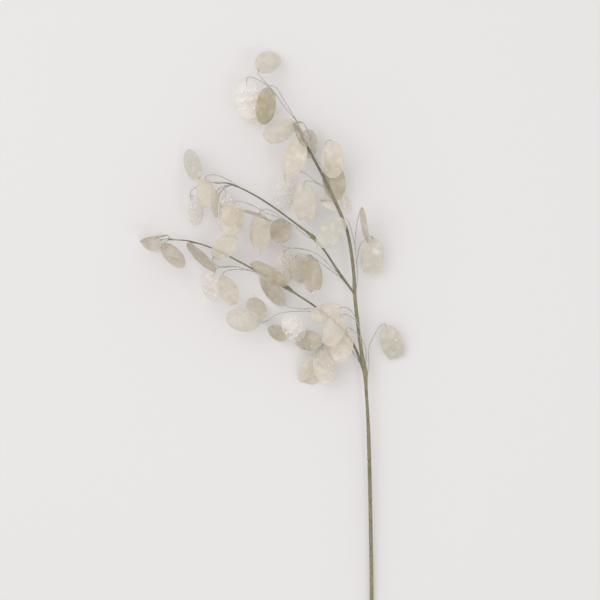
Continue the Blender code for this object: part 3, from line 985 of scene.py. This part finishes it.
class PodShape:
    """The height formula of one pod, with this pod's own small errors."""

    def __init__(self, spec, chance):
        self.spec = spec
        self.size = spec.length / POD_LENGTH
        self.reach, self.nick = POD_ENDS[spec.end]
        self.seeds = []
        pressing = 1.0 if spec.film == "clear" else chance.uniform(0.5, 1.02)
        for row in SEED_ROWS:
            for side in (-1, 1):
                x = row * spec.length + chance.uniform(-1.4, 1.4)
                y = side * SEED_COLUMN * POD_WIDTH / 2 * self.size + chance.uniform(-1.0, 1.0)
                self.seeds.append((x, y, pressing * chance.uniform(0.5, 1.1)))
        self.phase = Vector([chance.uniform(0, 50) for _ in range(3)])
        self.shade = spec.shade + chance.uniform(-0.06, 0.06)

    def seed_mask(self, x, y):
        spread = SEED_SPREAD * self.size
        return max(
            full * math.exp(-((math.hypot((x - sx), (y - sy) * 1.15) / spread) ** 2 * 1.6) ** 1.3)
            for sx, sy, full in self.seeds
        )

    def band_mask(self, x, y):
        """Clear film is also pressed in wavy bands across the pod, through its seeds."""
        if self.spec.film != "clear":
            return 0.0
        bend = 1.3 * math.sin(self.phase.x + y * 0.42)
        places = [row * self.spec.length + bend for row in SEED_ROWS]
        ripple = 0.35 * math.sin(self.phase.y + y * 0.8 + x * 0.5)
        return max(math.exp(-(((x - place) / 1.9) ** 2)) for place in places) * (0.6 + ripple)

    def point(self, row, column):
        """(along, across, height, masks) for a place on the grid; column runs from -1 to 1."""
        spec = self.spec
        share = 0.5 - 0.5 * math.cos(math.pi * row / GRID_ROWS)
        share = 0.35 * share + 0.65 * row / GRID_ROWS
        half = half_width(share, self.reach) * POD_WIDTH / 2 * self.size
        x = share * spec.length - self.nick * max(0, share - 0.93) / 0.07 * (1 - abs(column)) ** 2
        y = column * half
        seed = self.seed_mask(x, y)
        edge = min(half * (1 - abs(column)), x + 0.4, (spec.length - x) * 1.2 + 0.4)
        rim = math.exp(-((max(edge, 0) / 0.7) ** 2))
        rib = math.exp(-((y / 0.55) ** 2)) * min(1.0, 6 * share * (1 - share))
        bow = POD_BOW * 4 * share * (1 - share) * (1 - 0.5 * column**2)
        wave = noise.noise(self.phase + Vector((x, y, 0)) / 11) * 0.5
        band = self.band_mask(x, y) * (1 - rim)
        height = bow + SEED_HEIGHT * seed + 0.18 * rib + BAND_HEIGHT * band
        height += wave * (0.3 + 0.7 * abs(column))
        # the seed mask, with the clear film's bands, also says where the highlight is painted
        masks = {"seed": max(seed, 0.75 * band), "rim": rim, "shade": self.shade}
        return x, y, height, masks


# %% [markdown]
# The formula gives one height for each place on the pod. Front and back lie half the film's
# thickness to either side of it and are joined round the rim. The closed film has two faces, so
# what lies behind it is dimmed twice, and the opacity of each face is set low for that.

# %% Press the film
def pod_into(work, shape):
    """Adds a closed film: front and back grids that follow one height, joined round the rim."""
    stalk, along, across, out = pod_axes(shape.spec)
    sheets = []
    steps = [2 * k / GRID_COLUMNS - 1 for k in range(GRID_COLUMNS + 1)]
    columns = [math.sin(math.pi / 2 * step * 0.94) for step in steps]
    widest = columns[-1]
    for face in (1, -1):
        sheet = []
        for row in range(GRID_ROWS + 1):
            line = []
            for column in columns:
                x, y, height, masks = shape.point(row, column / widest)
                thick = (FILM_THICKNESS + RIM_BEAD * masks["rim"]) / 2 * face
                place = stalk + along * x + across * y + out * (height + thick)
                vert = work.verts.new(place * MM)
                for layer, value in masks.items():
                    vert[work.verts.layers.float[layer]] = value
                line.append(vert)
            sheet.append(line)
        sheets.append(sheet)
    join_sheets(work, *sheets)


def join_sheets(work, front, back):
    rows, columns = len(front), len(front[0])
    for i in range(rows - 1):
        for k in range(columns - 1):
            work.faces.new((front[i][k], front[i + 1][k], front[i + 1][k + 1], front[i][k + 1]))
            work.faces.new((back[i][k], back[i][k + 1], back[i + 1][k + 1], back[i + 1][k]))
    loop = [(i, 0) for i in range(rows)] + [(rows - 1, k) for k in range(1, columns)]
    loop += [(i, columns - 1) for i in range(rows - 2, -1, -1)]
    loop += [(0, k) for k in range(columns - 2, 0, -1)]
    for (i, k), (j, m) in zip(loop, loop[1:] + loop[:1]):
        work.faces.new((front[i][k], back[i][k], back[j][m], front[j][m]))


print("film press ready:", 2 * GRID_ROWS * GRID_COLUMNS, "faces on the two sides of a pod")


# %% [markdown]
# The film is where the spray gets its look. Real honesty's inner skin is pearly because it is a stack
# of thin layers, and the plastic copies that with mica. The effect has three parts, and both films
# share them, so they are one group: a body colour that runs from grey through cream and beige to
# olive, and past that into a darker painted shade for pods seen almost edge-on; painted highlights,
# pale on the crowns of the seeds and on the clear film's bands, and fainter in scattered glint
# patches; and an opacity that is higher where the film is thicker, at the seeds and rim, and in the
# glint patches. Base colour and opacity come from the group. The gloss is a clear coat on the shader
# itself.

# %% Film finish
def build_pressed_film_group():
    group, given, result = new_group(
        "pressed pearl film",
        {
            "Grey": (COLOUR, None),
            "Cream": (COLOUR, None),
            "Beige": (COLOUR, None),
            "Olive": (COLOUR, None),
            "EdgeOnShade": (COLOUR, None),
            "Highlight": (COLOUR, None),
            "Seed": (FLOAT, 0.0),
            "Rim": (FLOAT, 0.0),
            "Shade": (FLOAT, 0.3),
            "Patch Scale": (FLOAT, 140.0),
            "Grain Scale": (FLOAT, 700.0),
            "Thin": (FLOAT, 0.6),
            "Thick": (FLOAT, 0.9),
            "Sparkle": (FLOAT, 0.4),
        },
        {
            "Colour": (COLOUR, None),
            "Opacity": (FLOAT, None),
            "Roughness": (FLOAT, None),
            "Height": (FLOAT, None),
        },
    )
    drift = stretch(group, cloud(group, 45, 2.0), 0.3, 0.7, -0.16, 0.16)
    shade = math_node(group, "ADD", drift, given["Shade"])
    body = given["Grey"]
    # past 1 the body darkens into painted shade, used for pods seen almost edge-on
    steps = (("Cream", 0.0, 0.35), ("Beige", 0.35, 0.7), ("Olive", 0.7, 1.0), ("EdgeOnShade", 1.0, 1.35))
    for richer, start, full in steps:
        body = mix_colour(group, stretch(group, shade, start, full), body, given[richer])
    # glint patches: a faint painted highlight in the colour, and also more opaque and glossier
    glint = stretch(group, cloud(group, given["Patch Scale"], 0.0), 0.50, 0.72)
    raised = math_node(group, "MAXIMUM", given["Seed"], given["Rim"])
    # painted highlight on the crown of each raised seed and on the clear film's bands
    seed_highlight = math_node(group, "POWER", given["Seed"], 2.0)
    light = math_node(group, "MAXIMUM", seed_highlight, math_node(group, "MULTIPLY", glint, 0.3))
    light = math_node(group, "MULTIPLY", light, given["Sparkle"])
    link(group, mix_colour(group, light, body, given["Highlight"]), result["Colour"])
    solid = math_node(group, "MAXIMUM", math_node(group, "MULTIPLY", glint, 0.45), raised)
    opacity = add_node(group, "ShaderNodeMix", data_type="FLOAT")
    link(group, solid, opacity.inputs[0])
    link(group, given["Thin"], opacity.inputs[2])
    link(group, given["Thick"], opacity.inputs[3])
    link(group, opacity.outputs[0], result["Opacity"])
    link(group, stretch(group, glint, 0, 1, 0.38, 0.24), result["Roughness"])
    link(group, cloud(group, given["Grain Scale"], 2.0), result["Height"])
    return group


def film_material(name, body, coat, grain, **film):
    material = new_material(name, 0.3)
    tree = material.node_tree
    outputs = place_group(
        material,
        PRESSED_FILM,
        **body,
        **film,
        Seed=value_from(tree, "seed"),
        Rim=value_from(tree, "rim"),
        Shade=value_from(tree, "shade"),
    )
    shader = principled(material)
    link(tree, outputs["Colour"], shader.inputs["Base Color"])
    link(tree, outputs["Opacity"], shader.inputs["Alpha"])
    link(tree, outputs["Roughness"], shader.inputs["Roughness"])
    shader.inputs["Coat Weight"].default_value = coat
    shader.inputs["Coat Roughness"].default_value = 0.12
    shader.inputs["Sheen Weight"].default_value = 0.15
    shader.inputs["Sheen Roughness"].default_value = 0.4
    add_bump(material, outputs["Height"], grain, 0.4)
    return material


PRESSED_FILM = build_pressed_film_group()
PEARL_BODY = {
    "Grey": (0.635, 0.61, 0.505, 1),
    "Cream": (0.78, 0.70, 0.58, 1),
    "Beige": (0.565, 0.485, 0.355, 1),
    "Olive": (0.49, 0.415, 0.225, 1),
    # painted shade for pods seen almost edge-on
    "EdgeOnShade": (0.38, 0.315, 0.22, 1),
    # the colour of the painted highlights on seeds, bands and glint patches
    "Highlight": (0.97, 0.95, 0.90, 1),
}
CLEAR_BODY = {
    "Grey": (0.86, 0.83, 0.76, 1),
    "Cream": (0.90, 0.84, 0.73, 1),
    "Beige": (0.85, 0.78, 0.66, 1),
    "Olive": (0.72, 0.64, 0.46, 1),
    # painted shade for pods seen almost edge-on
    "EdgeOnShade": (0.45, 0.40, 0.32, 1),
    # the colour of the painted highlights on seeds, bands and glint patches
    "Highlight": (1.0, 0.985, 0.945, 1),
}
PEARL_FILM = {"Thin": 0.50, "Thick": 0.70, "Sparkle": 0.80, "Patch_Scale": 110, "Grain_Scale": 400}
CLEAR_FILM = {"Thin": 0.15, "Thick": 0.92, "Sparkle": 1.0, "Patch_Scale": 65, "Grain_Scale": 90}
FILMS = {
    "pearl": film_material("pearl film", PEARL_BODY, coat=0.4, grain=0.06, **PEARL_FILM),
    "clear": film_material("clear film", CLEAR_BODY, coat=0.9, grain=0.12, **CLEAR_FILM),
}
print("films:", [film.name for film in FILMS.values()])

# %% [markdown]
# On some pods the hair-thin thread that was the flower's style is left at the far end. It is a
# tapering wire of the same film, 4 to 9 mm long.

# %% Hang the pods
THREAD_RADIUS = 0.22


def thread_into(work, spec):
    stalk, along, across, out = pod_axes(spec)
    start = stalk + along * (spec.length - 1.0)
    onward = Vector((along.x, along.y, along.z * 0.2)).normalized()
    line = [start + onward * spec.thread * k / 8 + out * 0.25 * math.sin(k / 8 * 5) for k in range(9)]
    tube_into(
        work,
        line,
        6,
        lambda i, turn: THREAD_RADIUS * (1.15 - i / 10),
        lambda i, turn: {"seed": 0.0, "rim": 1.0, "shade": 0.9},
    )


def hang_pod(node, number, spec, chance):
    work = new_work(*FILM_LAYERS)
    pod_into(work, PodShape(spec, chance))
    if spec.thread:
        thread_into(work, spec)
    return keep_piece(f"{node}_pod_{number}", work, FILMS[spec.film], node, crease=75)


chance = random.Random(11)
faces = 0
for twig_name, twig_pods in TWIGS.items():
    for number, spec in enumerate(twig_pods, 1):
        faces += len(hang_pod(twig_name, number, spec, chance).data.polygons)
print(pod_count, "pods of film,", faces, "faces")
